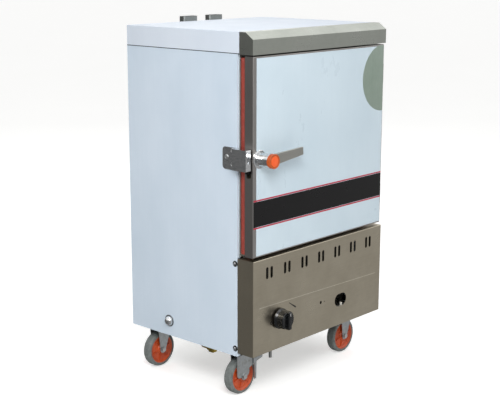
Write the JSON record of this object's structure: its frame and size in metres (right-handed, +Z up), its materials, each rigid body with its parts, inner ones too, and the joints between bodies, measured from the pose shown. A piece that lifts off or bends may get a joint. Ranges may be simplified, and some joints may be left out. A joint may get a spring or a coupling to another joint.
{
  "type": "gas rice steamer",
  "caption": "Upright sheet steel steam cabinet on swivel casters, with a sealed door and lever latch, tray racks over a heated water tank, a gas knob and rear flues.",
  "frame": {"origin": "on the floor, under the middle of the whole object's bounding box", "axes": "+Z up, -Y out of the door side, +X to the viewer's right when facing the door"},
  "size_m": [0.741, 0.6715, 1.2327],
  "materials": {
    "film_steel": "protective film over sheet steel, satin",
    "cover_steel": "pale sheet steel, satin",
    "brushed_steel": "brushed along its length",
    "plain_steel": "mill finish sheet and tube",
    "red_silicone": "matte moulded silicone",
    "insulation": "mineral fibre board",
    "cast_burner": "sand cast, matte",
    "brass": "turned",
    "chrome": "polished plating",
    "black_plastic": "moulded",
    "orange_plastic": "moulded",
    "tyre_rubber": "grey rubber tread",
    "zinc_steel": "zinc plated pressings",
    "black_steel": "blackened",
    "ceramic": "glazed insulator"
  },
  "bodies": {
    "cabinet": {"base_cross_rails": "plain_steel", "base_side_rails": "plain_steel", "burner_bars": "cast_burner", "burner_manifold": "plain_steel", "burner_supports": "plain_steel", "burner_tray": "plain_steel", "caster_plates": "zinc_steel", "chamber_liner": "brushed_steel", "drain_barb": "brass", "drain_pipe": "black_steel", "flue_ducts": "plain_steel", "flue_straps": "plain_steel", "front_frame": "brushed_steel", "gas_pipes": "plain_steel", "gas_valve": "brass", "heat_shields": "plain_steel", "hinge_brackets": "plain_steel", "hinge_pins": "plain_steel", "hinge_screws": "chrome", "insulation_boards": "insulation", "keeper_screws": "chrome", "latch_keeper": "chrome", "left_side_panel": "film_steel", "lower_panel": "brushed_steel", "overflow_pipe": "plain_steel", "panel_screws": "chrome", "rear_panel": "plain_steel", "right_side_panel": "film_steel", "side_port": "chrome", "spark_electrode": "ceramic", "steam_baffle": "brushed_steel", "top_cover": "cover_steel", "tray_racks": "brushed_steel", "visor": "brushed_steel", "water_tank": "brushed_steel"},
    "door": {"door_shell": "film_steel", "door_liner": "brushed_steel", "door_core": "insulation", "door_gasket": "red_silicone", "latch_rosette": "chrome", "door_hinge_leaves": "plain_steel"},
    "latch": {"latch_handle": "chrome", "latch_cap": "orange_plastic", "latch_tongue": "black_steel"},
    "plunger": {"valve_plunger": "brass"},
    "knob": {"gas_knob": "black_plastic", "knob_spindle": "plain_steel"},
    "pedal": {"brake_pedal": "zinc_steel"},
    "fork_front_left": {"caster_fork_front_left": "zinc_steel"},
    "wheel_front_left": {"caster_tyre_front_left": "tyre_rubber", "caster_hub_front_left": "orange_plastic"},
    "fork_front_right": {"caster_fork_front_right": "zinc_steel"},
    "wheel_front_right": {"caster_tyre_front_right": "tyre_rubber", "caster_hub_front_right": "orange_plastic"},
    "fork_rear_left": {"caster_fork_rear_left": "zinc_steel"},
    "wheel_rear_left": {"caster_tyre_rear_left": "tyre_rubber", "caster_hub_rear_left": "orange_plastic"},
    "fork_rear_right": {"caster_fork_rear_right": "zinc_steel"},
    "wheel_rear_right": {"caster_tyre_rear_right": "tyre_rubber", "caster_hub_rear_right": "orange_plastic"}
  },
  "joints": [
    {"name": "door_hinge", "type": "hinge", "parent": "cabinet", "child": "door", "pos_m": [0.358, -0.252, 0.818], "axis": [0, 0, 1], "range_deg": [0, 170]},
    {"name": "latch_turn", "type": "hinge", "parent": "door", "child": "latch", "pos_m": [-0.3165, -0.295, 0.817], "axis": [0, -1, 0], "range_deg": [-20, 47]},
    {"name": "gas_push", "type": "slide", "parent": "cabinet", "child": "plunger", "axis": [0, 1, 0], "range_m": [0, 0.004], "stiffness_N_per_m": 800, "springref_m": -0.002},
    {"name": "gas_turn", "type": "hinge", "parent": "plunger", "child": "knob", "pos_m": [-0.22, -0.295, 0.268], "axis": [0, -1, 0], "range_deg": [0, 180]},
    {"name": "swivel_front_left", "type": "hinge", "parent": "cabinet", "child": "fork_front_left", "pos_m": [-0.278, -0.167, 0.142], "axis": [0, 0, 1], "continuous": true},
    {"name": "roll_front_left", "type": "hinge", "parent": "fork_front_left", "child": "wheel_front_left", "pos_m": [-0.298, -0.167, 0.0625], "axis": [0, 1, 0], "continuous": true},
    {"name": "swivel_front_right", "type": "hinge", "parent": "cabinet", "child": "fork_front_right", "pos_m": [0.278, -0.167, 0.142], "axis": [0, 0, 1], "continuous": true},
    {"name": "roll_front_right", "type": "hinge", "parent": "fork_front_right", "child": "wheel_front_right", "pos_m": [0.258, -0.167, 0.0625], "axis": [0, 1, 0], "continuous": true},
    {"name": "swivel_rear_left", "type": "hinge", "parent": "cabinet", "child": "fork_rear_left", "pos_m": [-0.278, 0.227, 0.142], "axis": [0, 0, 1], "continuous": true},
    {"name": "roll_rear_left", "type": "hinge", "parent": "fork_rear_left", "child": "wheel_rear_left", "pos_m": [-0.298, 0.227, 0.0625], "axis": [0, 1, 0], "continuous": true},
    {"name": "swivel_rear_right", "type": "hinge", "parent": "cabinet", "child": "fork_rear_right", "pos_m": [0.278, 0.227, 0.142], "axis": [0, 0, 1], "continuous": true},
    {"name": "roll_rear_right", "type": "hinge", "parent": "fork_rear_right", "child": "wheel_rear_right", "pos_m": [0.258, 0.227, 0.0625], "axis": [0, 1, 0], "continuous": true},
    {"name": "brake_press", "type": "hinge", "parent": "fork_front_left", "child": "pedal", "pos_m": [-0.246, -0.167, 0.1075], "axis": [0, 1, 0], "range_deg": [0, 12]}
  ]
}
